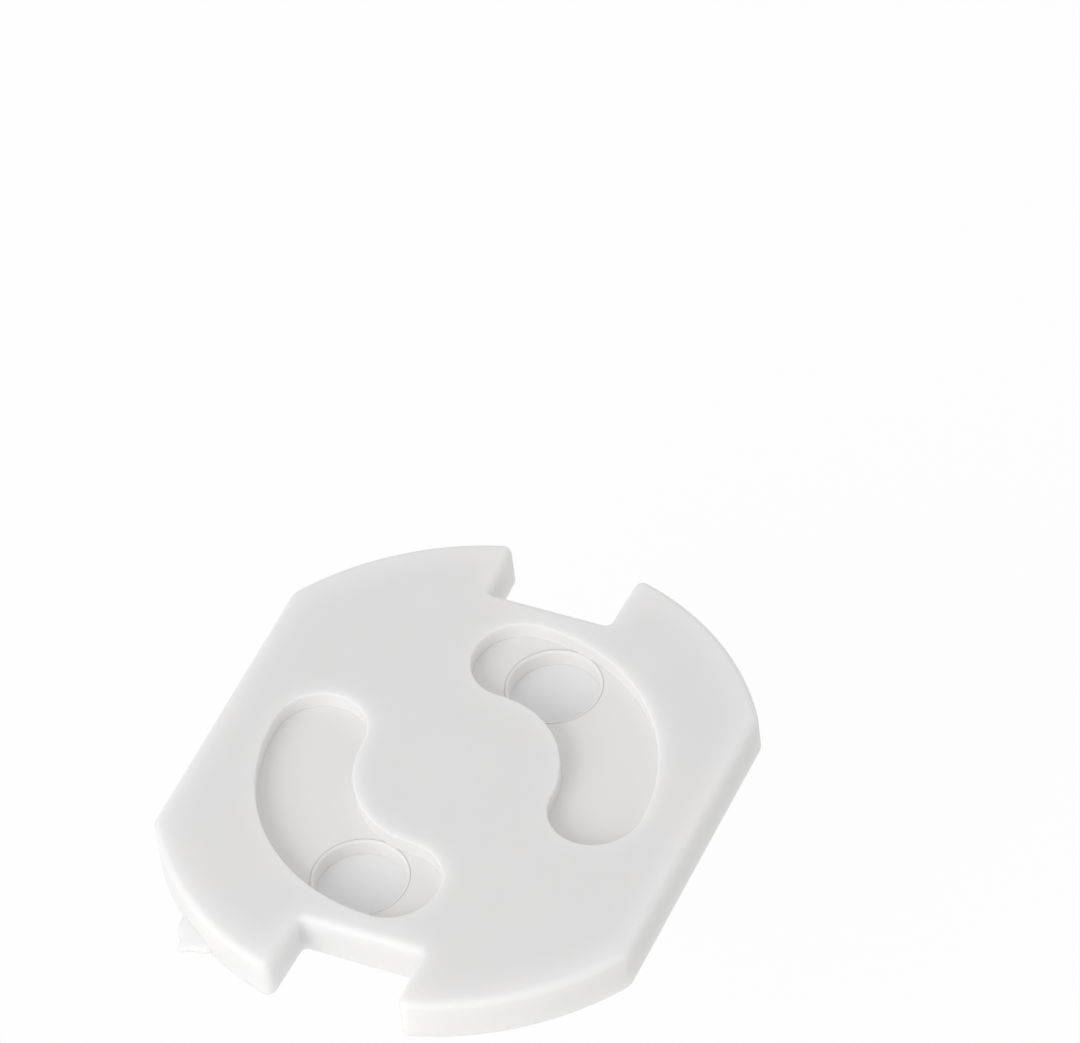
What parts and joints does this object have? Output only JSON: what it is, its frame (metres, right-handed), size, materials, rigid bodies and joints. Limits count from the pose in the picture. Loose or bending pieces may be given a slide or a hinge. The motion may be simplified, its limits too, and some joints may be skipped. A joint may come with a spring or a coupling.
{
  "type": "outlet safety cover",
  "caption": "Stick-on child safety cover for a round earthed wall socket, with curved slots over a sprung shutter disc that the plug turns to reach the contacts.",
  "frame": {"origin": "centre of the liner's underside, on the cover's turning axis", "axes": "+Z out of the front face, X through the back plate's two pin holes, Y through the two clip notches"},
  "size_m": [0.032, 0.0368, 0.005],
  "materials": {
    "shell_plastic": "satin",
    "disc_plastic": "satin",
    "plate_plastic": "satin",
    "spring_steel": "satin",
    "foam": "matte",
    "liner_paper": "matte"
  },
  "bodies": {
    "cover": {"front_cover": "shell_plastic", "back_plate": "plate_plastic", "return_spring": "spring_steel", "adhesive_pad": "foam", "release_liner": "liner_paper"},
    "shutter": {"shutter_disc": "disc_plastic"}
  },
  "joints": [
    {"name": "shutter_turn", "type": "hinge", "parent": "cover", "child": "shutter", "pos_m": [0, 0, 0.0032], "axis": [0, 0, 1], "range_deg": [-75, 0], "stiffness_Nm_per_rad": 0.001, "springref_deg": 85.94, "deforming": ["return_spring"]}
  ]
}
